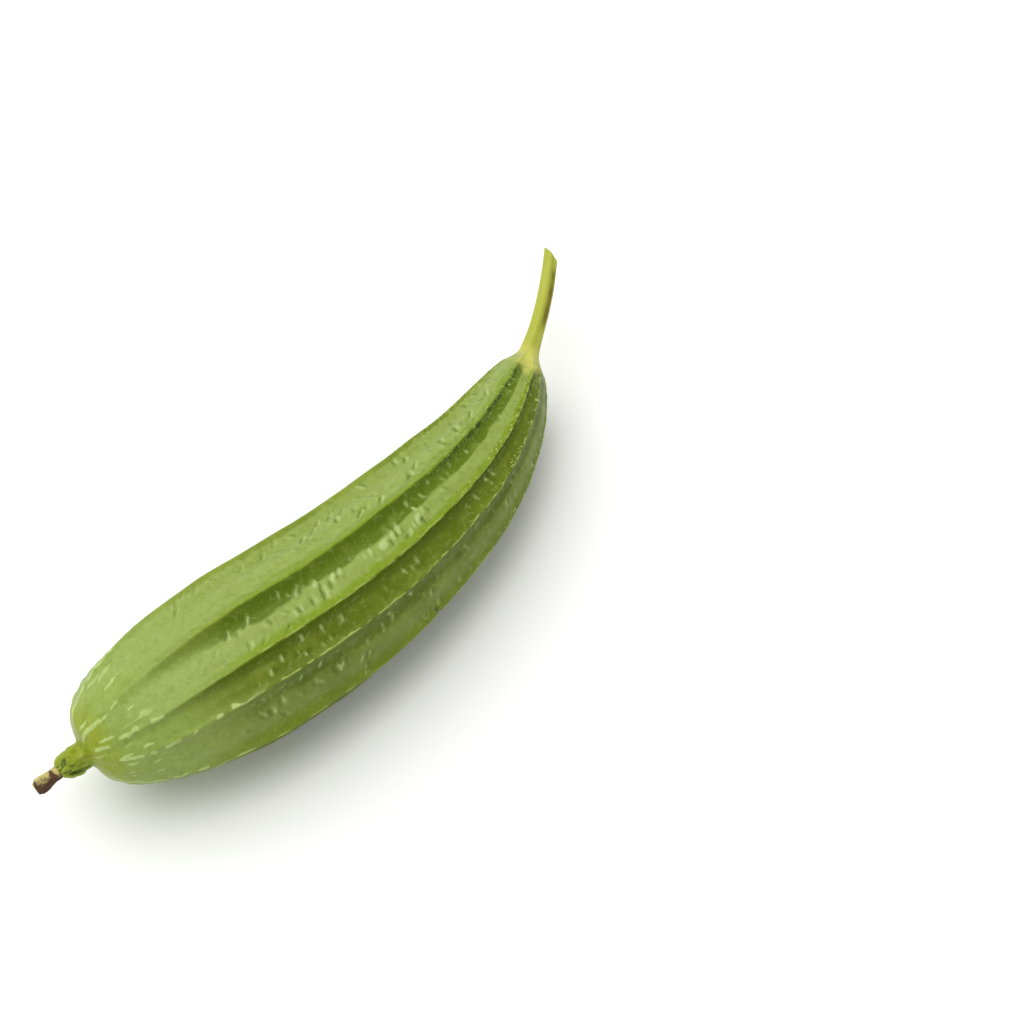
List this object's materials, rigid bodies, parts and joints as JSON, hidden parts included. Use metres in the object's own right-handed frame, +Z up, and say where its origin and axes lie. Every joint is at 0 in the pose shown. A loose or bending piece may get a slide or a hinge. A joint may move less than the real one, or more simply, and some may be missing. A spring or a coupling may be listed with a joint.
{
  "type": "ridge gourd",
  "caption": "Whole green ridge gourd with raised lengthwise ribs, a curved tapering body, a cut stem and a beak with a dried flower remnant, lying on its side.",
  "frame": {"origin": "bottom centre of the box of all three pieces, on the surface that the gourd lies on", "axes": "+Z up from the resting surface, +X along the gourd from the dried flower to the cut stem, +Y to the side that the stem end bends towards"},
  "size_m": [0.2956, 0.0762, 0.0659],
  "materials": {
    "skin": "matt green skin with a faint waxy sheen",
    "stem": "matt yellow-green",
    "dried_flower": "dry matt brown"
  },
  "bodies": {
    "root": {"fruit": "skin", "stem": "stem", "flower_remnant": "dried_flower"}
  },
  "joints": []
}
